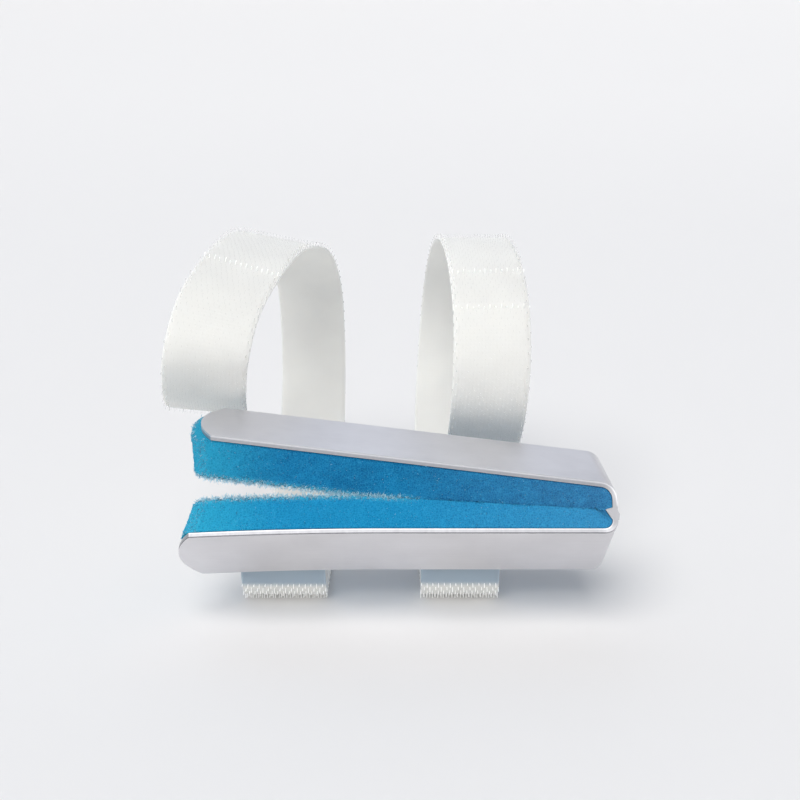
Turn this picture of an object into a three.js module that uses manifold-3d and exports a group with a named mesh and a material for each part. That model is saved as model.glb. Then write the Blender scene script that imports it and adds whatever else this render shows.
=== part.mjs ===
// Fold-over finger splint: a U of aluminium strip lined with foam, with two loops of hook-and-loop tape.
// Millimetres. +X runs towards the fold at the fingertip, +Y to the back, +Z up.
// The splint has its own frame: X along it, Y from its front edge to its back edge, Z across the gap.

import * as THREE from "three";
import { mergeVertices } from "three/addons/utils/BufferGeometryUtils.js";
import Module from "manifold-3d";

// Metal strip
const STRIP_WIDTH = 19;
const STRIP_THICKNESS = 1;
const SPLINT_LENGTH = 82.8; // from the lower arm's rounded end to the outside of the fold
const UPPER_ARM_SETBACK = 3.8; // the upper arm stops this much short of the lower one
const END_RADIUS = 6.5; // corner radius of the rounded ends
const FOLD_HEIGHT = 9.2; // outside height of the end wall at its front edge
const LOWER_BEND_RADIUS = 2.4; // outside radii of the two bends
const UPPER_BEND_RADIUS = 3.4;
const ARM_SPREAD = 21.8; // degrees that each arm leans outwards from front to back
const OPENING_ANGLE = 6.8; // degrees between the arms, seen from the front
const LOWER_ARM_BOW = 1; // how far the lower arm's open end is bent outwards
const BOW_LENGTH = 40; // length of the lower arm that is bent so

// Pleat where the end wall's front edge is crimped
const PLEAT_DEPTH = 1.35; // ridge inside the fold
const PLEAT_HEIGHT = 2.1;
const PLEAT_STEP = 0.35; // the metal below the crease stands out this much
const PLEAT_NOTCH = 0.4; // crease outside the fold
const PLEAT_REACH = 13; // the pleat fades out this far from the front edge

// Foam
const UPPER_FOAM_THICKNESS = 7.3;
const LOWER_FOAM_THICKNESS = 6.5; // pressed a little flatter
const MEETING_SHARE = 0.47; // of the gap between the arms, where the layers press on each other
const FOAM_GAP = 0.3; // between foam and metal
const SLIT = 0.3; // between the two layers where they press on each other
const UPPER_FOAM_OVERHANG = 1.2; // foam past the end of the upper arm
const LOWER_FOAM_OVERHANG = -1.6;
const FOAM_END_SLANT = 0.8; // the foam's open ends fall back this much from the metal to the inside
const CREASE_DEPTH = 2.4; // foam between the end of the slit and the metal of the wall
const WALL_PRESSED = 0.5; // the wall's foam is as thin as that where the layers lose this share of their thickness

// Straps
const LEFT_STRAP_WIDTH = 17;
const RIGHT_STRAP_WIDTH = 15.8;
const STRAP_THICKNESS = 1.5;
const STRAP_GRIP = 14; // length held between foam and metal
const STRAP_CLEARANCE = 0.3;
const STRAP_EXIT = 0.6; // straight length past the metal's back edge
const LOOP_DEPTH = 91; // from the metal's back edge to the back of the loop
const LOOP_HEIGHT = 69.4;

// How the splint stands: carried by its straps, leaning back
const LEAN = 20.6; // degrees, front edge up
const CARRY_HEIGHT = 8.9; // lower arm's back edge above the table

const BEND_STEPS = 6;
const CORNER_STEPS = 5;
const ARM_STEPS = 10;
const STRAP_STEPS = 84;

const METAL = { color: 0xcdced0, metalness: 1, roughness: 0.38 };
const FOAM = { color: 0x1d86c8, metalness: 0, roughness: 0.95 };
const TAPE = { color: 0xe2e2dc, metalness: 0, roughness: 0.7 };

// Each loop from the back edge of the metal to its free end. back is a share of LOOP_DEPTH, up of LOOP_HEIGHT,
// aside is in strap widths towards the fold, and twist is in degrees. fromFold is a share of SPLINT_LENGTH.
const LEFT_LOOP = [
  { back: 0.022, up: 0.055, aside: 0, twist: 0 },
  { back: 0.055, up: 0.008, aside: 0, twist: 0 },
  { back: 0.11, up: 0, aside: 0, twist: 0 },
  { back: 0.3, up: 0, aside: 0, twist: 0 },
  { back: 0.52, up: 0, aside: 0, twist: 0 },
  { back: 0.75, up: 0.07, aside: 0.01, twist: 0 },
  { back: 0.92, up: 0.25, aside: 0.02, twist: 0 },
  { back: 0.998, up: 0.5, aside: 0.02, twist: 0 },
  { back: 0.955, up: 0.757, aside: -0.01, twist: -4 },
  { back: 0.8, up: 0.93, aside: -0.12, twist: -9 },
  { back: 0.57, up: 0.995, aside: -0.34, twist: -13 },
  { back: 0.33, up: 0.968, aside: -0.53, twist: -12 },
  { back: 0.15, up: 0.858, aside: -0.77, twist: -8 },
  { back: 0.09, up: 0.73, aside: -0.885, twist: -5 },
  { back: 0.14, up: 0.6, aside: -0.965, twist: -4 },
  { back: 0.25, up: 0.512, aside: -1.01, twist: -4 },
  { back: 0.37, up: 0.485, aside: -1.06, twist: -4 },
  { back: 0.48, up: 0.525, aside: -1.1, twist: -4 },
];
const RIGHT_LOOP = [
  { back: 0.022, up: 0.055, aside: 0, twist: 0 },
  { back: 0.055, up: 0.008, aside: 0, twist: 0 },
  { back: 0.11, up: 0, aside: 0, twist: 0 },
  { back: 0.3, up: 0, aside: -0.01, twist: 0 },
  { back: 0.52, up: 0, aside: -0.02, twist: 0 },
  { back: 0.75, up: 0.07, aside: -0.03, twist: 0 },
  { back: 0.92, up: 0.25, aside: -0.02, twist: 0 },
  { back: 0.998, up: 0.5, aside: 0.04, twist: 0 },
  { back: 0.955, up: 0.757, aside: 0.12, twist: 0 },
  { back: 0.8, up: 0.93, aside: 0.21, twist: 0 },
  { back: 0.57, up: 0.998, aside: 0.3, twist: 0 },
  { back: 0.34, up: 0.95, aside: 0.38, twist: 0 },
  { back: 0.2, up: 0.83, aside: 0.42, twist: 0 },
  { back: 0.155, up: 0.675, aside: 0.42, twist: 0 },
  { back: 0.185, up: 0.515, aside: 0.39, twist: 0 },
  { back: 0.29, up: 0.378, aside: 0.36, twist: 0 },
  { back: 0.42, up: 0.32, aside: 0.33, twist: 0 },
];
const STRAPS = [
  { name: "strap_left", width: LEFT_STRAP_WIDTH, fromFold: 0.773, loop: LEFT_LOOP },
  { name: "strap_right", width: RIGHT_STRAP_WIDTH, fromFold: 0.342, loop: RIGHT_LOOP },
];

const wasm = await Module();
wasm.setup();

const radians = THREE.MathUtils.degToRad;
const lerp = THREE.MathUtils.lerp;
const spread = radians(ARM_SPREAD);
const opening = radians(OPENING_ANGLE);
const foldX = SPLINT_LENGTH / 2;
const lowerEndX = foldX - SPLINT_LENGTH;
const upperEndX = lowerEndX + UPPER_ARM_SETBACK;

// Closed triangle mesh from loose triangles, each a list of three points.
function closedGeometry(triangles) {
  const loose = new THREE.BufferGeometry().setFromPoints(triangles.flat());
  const merged = mergeVertices(loose, 1e-4);
  const index = [];
  for (let i = 0; i < merged.index.count; i += 3) {
    const [a, b, c] = [0, 1, 2].map((k) => merged.index.getX(i + k));
    if (a !== b && b !== c && c !== a) index.push(a, b, c);
  }
  merged.setIndex(index);
  return merged;
}

// Solid between two grids of points, grid[station][point], that share their layout. Seen from outside the solid, the
// outer grid's points run clockwise round the stations.
function solidBetween(outer, inner) {
  const stations = outer.length - 1;
  const points = outer[0].length - 1;
  const triangles = [];
  const quad = (a, b, c, d) => triangles.push([a, c, b], [a, d, c]);
  for (let j = 0; j < stations; j++)
    for (let i = 0; i < points; i++) {
      quad(outer[j][i], outer[j][i + 1], outer[j + 1][i + 1], outer[j + 1][i]);
      quad(inner[j][i], inner[j + 1][i], inner[j + 1][i + 1], inner[j][i + 1]);
    }
  for (let i = 0; i < points; i++) {
    quad(outer[0][i], inner[0][i], inner[0][i + 1], outer[0][i + 1]);
    quad(outer[stations][i + 1], inner[stations][i + 1], inner[stations][i], outer[stations][i]);
  }
  for (let j = 0; j < stations; j++) {
    quad(outer[j + 1][0], inner[j + 1][0], inner[j][0], outer[j][0]);
    quad(outer[j][points], inner[j][points], inner[j + 1][points], outer[j + 1][points]);
  }
  return closedGeometry(triangles);
}

function toManifold(geometry, matrix = new THREE.Matrix4()) {
  const moved = geometry.clone().applyMatrix4(matrix);
  const mesh = new wasm.Mesh({
    numProp: 3,
    vertProperties: moved.attributes.position.array,
    triVerts: new Uint32Array(moved.index.array),
  });
  return new wasm.Manifold(mesh);
}

function fromManifold(solid) {
  const mesh = solid.getMesh();
  return new THREE.BufferGeometry()
    .setAttribute("position", new THREE.BufferAttribute(mesh.vertProperties, mesh.numProp))
    .setIndex(new THREE.BufferAttribute(mesh.triVerts, 1));
}

// Distances from the front edge at which sections are taken, closer together round the corners of the ends.
function widthStations() {
  const corner = [];
  for (let k = 0; k <= CORNER_STEPS; k++)
    corner.push(END_RADIUS * (1 - Math.cos((Math.PI / 2) * (k / CORNER_STEPS))));
  return [...corner, STRIP_WIDTH / 2, ...corner.map((d) => STRIP_WIDTH - d).reverse()];
}

// How far the rounded end falls back at a distance from the front edge.
function endInset(across) {
  const fromCorner = END_RADIUS - Math.min(across, STRIP_WIDTH - across, END_RADIUS);
  return END_RADIUS - Math.sqrt(END_RADIUS ** 2 - fromCorner ** 2);
}

// Arc that rounds a corner between two straight runs, as points from one tangent point to the other.
function roundCorner(before, corner, after, radius) {
  const inwards = before.clone().sub(corner).normalize();
  const onwards = after.clone().sub(corner).normalize();
  const half = inwards.angleTo(onwards) / 2;
  const reach = radius / Math.tan(half);
  const centre = inwards.clone().add(onwards).normalize().multiplyScalar(radius / Math.sin(half)).add(corner);
  const from = inwards.multiplyScalar(reach).add(corner).sub(centre);
  const to = onwards.multiplyScalar(reach).add(corner).sub(centre);
  const turn = Math.atan2(from.cross(to), from.dot(to));
  const points = [];
  for (let k = 0; k <= BEND_STEPS; k++)
    points.push(from.clone().rotateAround(new THREE.Vector2(), (turn * k) / BEND_STEPS).add(centre));
  return points;
}

function bow(x) {
  return LOWER_ARM_BOW * Math.max(0, (lowerEndX + BOW_LENGTH - x) / BOW_LENGTH) ** 2;
}

// Height of the arms' outer faces in the splint's frame at a place along and across it.
function lowerFace(x, across) {
  return -FOLD_HEIGHT / 2 - across * Math.sin(spread) - bow(x);
}

function upperFace(x, across) {
  return FOLD_HEIGHT / 2 + across * Math.sin(spread) + (foldX - x) * Math.tan(opening);
}

// A point at a depth below an arm's outer face, square to that face.
function underFace(x, across, depth, face) {
  const down = face === upperFace ? -1 : 1;
  const y = across * Math.cos(spread) + depth * Math.sin(spread);
  return new THREE.Vector3(x, y, face(x, across) + down * depth * Math.cos(spread));
}

// The pleat's heights on the end wall, and how far its inside and outside surfaces move towards the finger there.
const PLEAT = [
  { up: -PLEAT_HEIGHT, inside: 0, outside: -PLEAT_STEP },
  { up: -PLEAT_HEIGHT / 2, inside: PLEAT_DEPTH * 0.55, outside: -PLEAT_STEP },
  { up: -PLEAT_STEP / 2, inside: PLEAT_DEPTH, outside: PLEAT_NOTCH },
  { up: PLEAT_STEP / 2, inside: 0, outside: 0 },
];

// One surface of the bent strip, at a depth below its outside, as a row of points from the lower arm's end round the
// fold to the upper arm's end.
function stripRow(across, depth, pleatSide) {
  const lean = across * Math.cos(spread);
  const wallX = foldX - depth;
  const low = underFace(wallX, across, depth, lowerFace);
  const high = underFace(wallX, across, depth, upperFace);
  const away = wallX - SPLINT_LENGTH;
  const lowCorner = new THREE.Vector2(wallX, low.z);
  const highCorner = new THREE.Vector2(wallX, high.z);
  const highAway = new THREE.Vector2(away, underFace(away, across, depth, upperFace).z);
  const lowArc = roundCorner(new THREE.Vector2(away, low.z), lowCorner, highCorner, LOWER_BEND_RADIUS - depth);
  const highArc = roundCorner(lowCorner, highCorner, highAway, UPPER_BEND_RADIUS - depth);
  const fade = Math.max(0, 1 - across / PLEAT_REACH) ** 1.5;
  const row = [];
  const inset = endInset(across);
  for (let k = 0; k < ARM_STEPS; k++)
    row.push(underFace(lerp(lowerEndX + inset, lowArc[0].x, k / ARM_STEPS), across, depth, lowerFace));
  lowArc.forEach((p, k) => row.push(new THREE.Vector3(p.x, lerp(low.y, lean, k / BEND_STEPS), p.y)));
  for (const { up, [pleatSide]: move } of PLEAT)
    row.push(new THREE.Vector3(wallX - move * fade, lean, up));
  highArc.forEach((p, k) => row.push(new THREE.Vector3(p.x, lerp(lean, high.y, k / BEND_STEPS), p.y)));
  for (let k = 1; k <= ARM_STEPS; k++) {
    const x = lerp(highArc[BEND_STEPS].x, upperEndX + inset, k / ARM_STEPS);
    row.push(underFace(x, across, depth, upperFace));
  }
  return row;
}

function metalStrip() {
  const across = widthStations();
  const outside = across.map((w) => stripRow(w, 0, "outside"));
  const inside = across.map((w) => stripRow(w, STRIP_THICKNESS, "inside"));
  return solidBetween(outside, inside);
}

const UPPER = { face: upperFace, foam: UPPER_FOAM_THICKNESS, endX: upperEndX - UPPER_FOAM_OVERHANG };
const LOWER = { face: lowerFace, foam: LOWER_FOAM_THICKNESS, endX: lowerEndX - LOWER_FOAM_OVERHANG };

// Length of foam below a point of an arm, square to it: its thickness, or less where it meets the other layer.
function foamReach(x, across, depth, arm) {
  const meeting = lerp(lowerFace(x, 0), upperFace(x, 0), MEETING_SHARE);
  const toMeeting = Math.abs(arm.face(x, across) - meeting) - SLIT / 2;
  return Math.min(arm.foam, toMeeting / Math.cos(spread) - depth);
}

// The foam's outside follows the metal, and its inside is a U whose layers press on each other near the front edge.
function foamLiner() {
  const depth = STRIP_THICKNESS + FOAM_GAP;
  const outside = [];
  const inside = [];
  for (const across of widthStations()) {
    const pressed = 1 - foamReach(foldX, across, depth, LOWER) / LOWER_FOAM_THICKNESS;
    const wallFoam = lerp(LOWER_FOAM_THICKNESS, CREASE_DEPTH, Math.min(1, pressed / WALL_PRESSED));
    const crotch = foldX - depth - wallFoam;
    const outer = stripRow(across, depth, "inside");
    const inner = [];
    outer.forEach((p, i) => {
      const arm = i < outer.length / 2 ? LOWER : UPPER;
      const fromEnd = Math.min(i, outer.length - 1 - i) / ARM_STEPS;
      const end = arm.endX + endInset(across);
      if (fromEnd < 1) p.copy(underFace(lerp(end, crotch, fromEnd), across, depth, arm.face));
      const x = Math.min(crotch, lerp(end + FOAM_END_SLANT, crotch, fromEnd));
      inner.push(underFace(x, across, depth + foamReach(x, across, depth, arm), arm.face));
    });
    outside.push(outer);
    inside.push(inner);
  }
  return solidBetween(outside, inside);
}

// The strap's path in the whole part's frame, from inside the grip to its free end.
function strapPath({ width, fromFold, loop }, splint) {
  const x = foldX - fromFold * SPLINT_LENGTH;
  const depth = STRIP_THICKNESS + STRAP_CLEARANCE + STRAP_THICKNESS / 2;
  const held = [STRIP_WIDTH - STRAP_GRIP, STRIP_WIDTH - STRAP_GRIP / 2, STRIP_WIDTH + STRAP_EXIT].map((across) =>
    splint.localToWorld(underFace(x, across, depth, lowerFace)),
  );
  const exit = held[held.length - 1];
  const free = loop.map(
    ({ back, up, aside }) =>
      new THREE.Vector3(
        exit.x + aside * width,
        exit.y + back * LOOP_DEPTH,
        STRAP_THICKNESS / 2 + up * (LOOP_HEIGHT - STRAP_THICKNESS),
      ),
  );
  const twist = [...held.map(() => 0), ...loop.map((row) => radians(row.twist))];
  return { curve: new THREE.CatmullRomCurve3([...held, ...free], false, "centripetal"), twist };
}

function strap(row, splint) {
  const { curve, twist } = strapPath(row, splint);
  const spans = twist.length - 1;
  const sides = [
    [[], []],
    [[], []],
  ];
  for (let k = 0; k <= STRAP_STEPS; k++) {
    const t = k / STRAP_STEPS;
    const along = curve.getTangent(t);
    const place = curve.getPoint(t);
    const span = Math.min(Math.floor(t * spans), spans - 1);
    const angle = lerp(twist[span], twist[span + 1], t * spans - span);
    const acrossStrap = new THREE.Vector3(1, 0, 0).projectOnPlane(along).normalize().applyAxisAngle(along, angle);
    const out = new THREE.Vector3().crossVectors(acrossStrap, along);
    [-1, 1].forEach((face, f) =>
      [-1, 1].forEach((edge, e) =>
        sides[f][e].push(
          place
            .clone()
            .addScaledVector(out, (face * STRAP_THICKNESS) / 2)
            .addScaledVector(acrossStrap, (edge * row.width) / 2),
        ),
      ),
    );
  }
  return solidBetween(sides[1], sides[0]);
}

// Room in the foam's outside for the held stretch of a strap.
function strapPocket({ width, fromFold }) {
  const thick = STRAP_THICKNESS + STRAP_CLEARANCE;
  const long = STRAP_GRIP + STRAP_EXIT + STRIP_THICKNESS + STRAP_CLEARANCE;
  const box = new THREE.BoxGeometry(width + 2 * STRAP_CLEARANCE, long, 2 * thick);
  box.deleteAttribute("normal");
  box.deleteAttribute("uv");
  const middle = STRIP_WIDTH - STRAP_GRIP - STRAP_CLEARANCE + long / 2;
  const place = underFace(foldX - fromFold * SPLINT_LENGTH, middle, STRIP_THICKNESS + STRAP_CLEARANCE, lowerFace);
  const turn = new THREE.Quaternion().setFromAxisAngle(new THREE.Vector3(1, 0, 0), -spread);
  const matrix = new THREE.Matrix4().compose(place, turn, new THREE.Vector3(1, 1, 1));
  return toManifold(mergeVertices(box), matrix);
}

function addMesh(group, name, geometry, look) {
  const mesh = new THREE.Mesh(geometry, new THREE.MeshStandardMaterial(look));
  geometry.computeVertexNormals();
  mesh.name = name;
  group.add(mesh);
}

const part = new THREE.Group();
const splint = new THREE.Group();
part.add(splint);
splint.rotation.x = -radians(LEAN);
splint.updateMatrixWorld(true);
const backEdge = splint.localToWorld(underFace(0, STRIP_WIDTH, 0, lowerFace));
splint.position.z = CARRY_HEIGHT - backEdge.z;
splint.updateMatrixWorld(true);

addMesh(splint, "metal_strip", metalStrip(), METAL);
const pockets = STRAPS.map(strapPocket);
const liner = pockets.reduce((foam, pocket) => foam.subtract(pocket), toManifold(foamLiner()));
addMesh(splint, "foam_liner", fromManifold(liner), FOAM);
for (const row of STRAPS) addMesh(part, row.name, strap(row, splint), TAPE);

// Origin: the middle of the footprint of the whole part, on the table.
const box = new THREE.Box3().setFromObject(part, true);
part.children.forEach((child) => {
  child.position.x -= (box.min.x + box.max.x) / 2;
  child.position.y -= (box.min.y + box.max.y) / 2;
  child.position.z -= box.min.z;
});

export default part;
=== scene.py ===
# %% [markdown]
# # Fold-over finger splint
#
# A first-aid splint for one finger: a strip of soft aluminium bent into a U, lined with blue foam, with two
# lengths of hook-and-loop tape that close round the finger. Here it lies on a pale table and stands on its
# own straps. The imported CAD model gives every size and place. The cells below rebuild each piece finely
# enough for a close look.

# %% Frame
import math

import bpy
import numpy as np
from mathutils import Matrix, Vector


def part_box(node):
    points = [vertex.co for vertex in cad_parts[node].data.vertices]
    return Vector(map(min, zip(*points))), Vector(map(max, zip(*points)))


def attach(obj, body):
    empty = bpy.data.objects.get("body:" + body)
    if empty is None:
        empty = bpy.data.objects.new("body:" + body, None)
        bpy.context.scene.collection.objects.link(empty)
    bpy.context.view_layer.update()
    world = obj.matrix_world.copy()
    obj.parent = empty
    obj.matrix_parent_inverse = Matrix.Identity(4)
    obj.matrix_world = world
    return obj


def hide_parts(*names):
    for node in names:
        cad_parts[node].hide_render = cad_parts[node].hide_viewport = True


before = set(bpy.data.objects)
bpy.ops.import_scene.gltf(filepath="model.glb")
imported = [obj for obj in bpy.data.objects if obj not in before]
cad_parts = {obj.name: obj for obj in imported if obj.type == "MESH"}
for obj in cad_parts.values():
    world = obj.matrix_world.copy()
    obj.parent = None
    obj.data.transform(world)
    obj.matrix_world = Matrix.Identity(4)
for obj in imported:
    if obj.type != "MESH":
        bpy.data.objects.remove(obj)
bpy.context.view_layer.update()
MM = 0.001
print("CAD nodes:", sorted(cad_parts))

# %% [markdown]
# ## Camera
#
# The photograph looks down by 14 degrees from a little in front of the splint. The edges of the strip that
# meet at the fold give that angle, and the width of the strip gives the distance. A 54 mm lens on a 36 mm
# sensor has the same field of view. The camera's place is measured from the metal strip, so it follows the
# part.

# %% Camera
LOOK_DOWN = math.radians(14)
CAMERA_ASIDE = 0.75 * MM  # from the middle of the metal strip
CAMERA_IN_FRONT = 209.3 * MM  # from the front of the metal strip
CAMERA_HEIGHT = 99.9 * MM
strip_low, strip_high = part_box("metal_strip")
camera_data = bpy.data.cameras.new("camera")
camera_data.lens = 54
camera_data.sensor_width = 36
camera_data.clip_start = 0.01
camera = bpy.data.objects.new("camera", camera_data)
middle = (strip_low.x + strip_high.x) / 2
camera.location = (middle + CAMERA_ASIDE, strip_low.y - CAMERA_IN_FRONT, CAMERA_HEIGHT)
camera.rotation_euler = (math.pi / 2 - LOOK_DOWN, 0, 0)
bpy.context.collection.objects.link(camera)
bpy.context.scene.camera = camera
bpy.context.scene.view_settings.view_transform = "Standard"
print("camera at", [round(v, 4) for v in camera.location])

# %% [markdown]
# ## Helpers
#
# Three small functions are used by every piece: one turns an sRGB hex code to the linear colour that
# Blender's shaders expect, one adds a shader node with its settings and its links, and one makes an object
# from points and faces.


# %% Helpers
def linear(code):
    channels = [int(code[i : i + 2], 16) / 255 for i in (1, 3, 5)]
    return [c / 12.92 if c <= 0.04045 else ((c + 0.055) / 1.055) ** 2.4 for c in channels] + [1]


def add(material, kind, links=(), **settings):
    """A node of one kind. Settings name its properties or input sockets; links are (socket, output) pairs."""
    tree = material.node_tree
    node = tree.nodes.new(kind)
    for name, value in settings.items():
        if name in node.bl_rna.properties:
            setattr(node, name, value)
        else:
            node.inputs[name.replace("_", " ")].default_value = value
    for socket, output in links:
        tree.links.new(output, node.inputs[socket])
    return node


def new_material(name):
    material = bpy.data.materials.new(name)
    material.use_nodes = True
    material.node_tree.nodes.clear()
    return material


def new_piece(name, points, faces, material, smooth=True):
    mesh = bpy.data.meshes.new(name)
    mesh.from_pydata(np.asarray(points).tolist(), [], np.asarray(faces).tolist())
    mesh.shade_smooth() if smooth else mesh.shade_flat()
    mesh.materials.append(material)
    mesh.update()
    piece = bpy.data.objects.new(name, mesh)
    bpy.context.collection.objects.link(piece)
    return piece


# %% [markdown]
# ## Table and light
#
# The photograph was taken on a white sheet under soft light. A wide round floor that rises very gently far
# from the splint has no horizon, so it stays pale from every side. The shade lies behind the splint and to
# its right, so the main light stands in front, above and to the left. A sun with a wide angle gives the
# same light on the whole floor with soft edged shade, and a pale world fills the rest. The world glows more
# high up behind the splint, as a white ceiling does, which is what the upper face of the metal reflects.

# %% Table
FLAT_RADIUS = 0.8
SLOPE = math.radians(7)
SLOPE_STEPS = 12  # over which the floor bends up to its slope
SLOPE_STEP = 0.14
FAR_SLOPES = ((4.3, 7), (0.3, 10), (0.3, 14), (0.3, 18), (0.4, 22), (0.5, 26), (2, 50))  # metres, degrees
profile = [(r * FLAT_RADIUS, 0) for r in (0, 0.12, 0.3, 0.6, 1)]
for k in range(1, SLOPE_STEPS + 1):
    r, z = profile[-1]
    profile.append((r + SLOPE_STEP, z + SLOPE_STEP * math.tan(SLOPE * k / SLOPE_STEPS)))
for reach, slope in FAR_SLOPES:
    r, z = profile[-1]
    profile.append((r + reach, z + reach * math.tan(math.radians(slope))))
ring = 96
points = [
    (r * math.cos(2 * math.pi * i / ring), r * math.sin(2 * math.pi * i / ring), z)
    for r, z in profile
    for i in range(ring)
]
faces = [
    (j * ring + i, j * ring + (i + 1) % ring, (j + 1) * ring + (i + 1) % ring, (j + 1) * ring + i)
    for j in range(len(profile) - 1)
    for i in range(ring)
]
paper = new_material("matt white paper")
paper_shader = add(
    paper, "ShaderNodeBsdfPrincipled", Base_Color=linear("#e9e8e7"), Roughness=0.85, Specular_IOR_Level=0.2
)
add(paper, "ShaderNodeOutputMaterial", [("Surface", paper_shader.outputs[0])])
table = new_piece("table", points, faces, paper)

# %% Light
TOWARDS_GLOW = Vector((-0.3, 0.79, 0.58)).normalized()
TOWARDS_SUN = Vector((-0.2, -0.62, 0.75))
world = bpy.data.worlds.new("soft white room")
world.use_nodes = True
background = world.node_tree.nodes["Background"]
background.inputs["Color"].default_value = linear("#e6edfa")
direction = add(world, "ShaderNodeTexCoord").outputs["Generated"]
towards_glow = add(world, "ShaderNodeVectorMath", [(0, direction)], operation="DOT_PRODUCT")
towards_glow.inputs[1].default_value = TOWARDS_GLOW
glow = add(
    world,
    "ShaderNodeMapRange",
    [("Value", towards_glow.outputs["Value"])],
    interpolation_type="SMOOTHSTEP",
    From_Min=0.66,
    From_Max=0.96,
    To_Min=0.33,
    To_Max=1.1,
)
world.node_tree.links.new(glow.outputs[0], background.inputs["Strength"])
bpy.context.scene.world = world

sun_data = bpy.data.lights.new("soft window light", "SUN")
sun_data.energy = 2.62
sun_data.color = (1, 0.985, 0.965)
sun_data.angle = math.radians(40)
sun = bpy.data.objects.new("soft window light", sun_data)
sun.rotation_euler = TOWARDS_SUN.to_track_quat("Z", "Y").to_euler()
bpy.context.collection.objects.link(sun)

print("table and light are in place")

# %% [markdown]
# ## The strip as a surface
#
# The metal, the foam and the held ends of the straps all follow one shape, so it is written once. In the
# splint's own frame, x runs along it, y from its front edge to its back edge and z across the gap. Each arm
# leans outwards from front to back, which is why both outer faces show at once. `strip_row` gives the
# points of one line along the strip, from the open end of the lower arm round the fold to the open end of
# the upper arm.

# %% Sizes of the strip
STRIP_WIDTH = 19 * MM
STRIP_THICKNESS = 1 * MM
SPLINT_LENGTH = 82.8 * MM
UPPER_ARM_SETBACK = 3.8 * MM
END_ARC_RADIUS = 16 * MM
EDGE_ZONE = 6.5 * MM  # the grids get finer over this width towards both edges
FOLD_HEIGHT = 9.2 * MM
LOWER_BEND_RADIUS = 2.4 * MM
UPPER_BEND_RADIUS = 3.4 * MM
ARM_SPREAD = math.radians(21.8)
OPENING = math.radians(6.8)
LOWER_ARM_BOW = 1 * MM
BOW_LENGTH = 40 * MM
FOLD_X = SPLINT_LENGTH / 2
LOWER_END = FOLD_X - SPLINT_LENGTH
UPPER_END = LOWER_END + UPPER_ARM_SETBACK
COS, SIN = math.cos(ARM_SPREAD), math.sin(ARM_SPREAD)

# Pleat in the front edge of the end wall: heights, and how far its two sides move towards the finger.
PLEAT_UP = np.array([-2.1, -1.05, -0.175, 0.175]) * MM
PLEAT_INSIDE = np.array([0, 0.74, 1.35, 0]) * MM
PLEAT_OUTSIDE = np.array([-0.2, -0.3, 0.1, 0]) * MM
PLEAT_REACH = 13 * MM


# %% Points on the strip
def arm_face(x, across, arm):
    """Height of an arm's outer face. arm is -1 for the lower arm and 1 for the upper one."""
    rise = FOLD_HEIGHT / 2 + across * SIN
    if arm < 0:
        return -rise - LOWER_ARM_BOW * np.maximum(0, (LOWER_END + BOW_LENGTH - x) / BOW_LENGTH) ** 2
    return rise + (FOLD_X - x) * math.tan(OPENING)


def under_face(x, across, depth, arm):
    """A point at a depth below an arm's outer face, square to that face."""
    x = np.asarray(x, float)
    y = across * COS + depth * SIN + 0 * x
    return np.stack([x, y, arm_face(x, across, arm) - arm * depth * COS], -1)


def end_inset(across):
    """How far the arc at the end of an arm falls back at a distance from the front edge."""
    return END_ARC_RADIUS - np.sqrt(END_ARC_RADIUS**2 - (across - STRIP_WIDTH / 2) ** 2)


def strip_row(across, depth, pleat, ends, arm_steps, bend_steps, wall_steps):
    wall_x = FOLD_X - depth
    y, shift = across * COS, depth * SIN
    low_z = arm_face(wall_x, across, -1) + depth * COS
    high_z = arm_face(wall_x, across, 1) - depth * COS
    low_r, high_r = LOWER_BEND_RADIUS - depth, UPPER_BEND_RADIUS - depth
    turn = math.pi / 2 - OPENING
    high_centre = high_z - high_r * (1 - math.sin(OPENING)) / math.cos(OPENING)
    k = np.linspace(0, 1, bend_steps + 1)
    angle = -math.pi / 2 * (1 - k)
    low_centre = low_z + low_r
    low_arc = np.stack(
        [wall_x - low_r + low_r * np.cos(angle), y + shift * (1 - k), low_centre + low_r * np.sin(angle)], -1
    )
    angle = turn * k
    high_arc = np.stack(
        [wall_x - high_r + high_r * np.cos(angle), y + shift * k, high_centre + high_r * np.sin(angle)], -1
    )
    up = np.linspace(low_centre, high_centre, wall_steps + 2)[1:-1]
    fade = max(0, 1 - across / PLEAT_REACH) ** 1.5
    wall = np.stack([wall_x - np.interp(up, PLEAT_UP, pleat, 0, 0) * fade, y + 0 * up, up], -1)
    k = np.linspace(0, 1, arm_steps + 1)
    low_x = ends[0] + (low_arc[0, 0] - ends[0]) * k[:-1]
    high_x = high_arc[-1, 0] + (ends[1] - high_arc[-1, 0]) * k[1:]
    return np.concatenate(
        [under_face(low_x, across, depth, -1), low_arc, wall, high_arc, under_face(high_x, across, depth, 1)]
    )


def width_stations(step, corner_steps):
    """Distances from the front edge, closer together towards both edges."""
    corner = EDGE_ZONE * (1 - np.cos(np.linspace(0, math.pi / 2, corner_steps + 1)))
    inner = np.arange(EDGE_ZONE + step, STRIP_WIDTH - EDGE_ZONE - step / 2, step)
    return np.concatenate([corner, inner, STRIP_WIDTH - corner[::-1]])


# %% [markdown]
# The part leans back on its straps, so the splint's frame is turned about x. The place of the turned shape
# comes from the CAD: the rebuilt strip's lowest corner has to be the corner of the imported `metal_strip`.

# %% Place of the splint
LEAN = math.radians(20.6)
TURN = np.array(Matrix.Rotation(-LEAN, 3, "X"))
coarse = np.array(
    [
        strip_row(a, 0, PLEAT_OUTSIDE, (LOWER_END + end_inset(a), UPPER_END + end_inset(a)), 10, 6, 12)
        for a in width_stations(1 * MM, 8)
    ]
).reshape(-1, 3)
splint_place = np.array(strip_low) - (coarse @ TURN.T).min(0)


def placed(points):
    return np.asarray(points) @ TURN.T + splint_place


print("splint placed at", np.round(splint_place / MM, 2), "mm")


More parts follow.
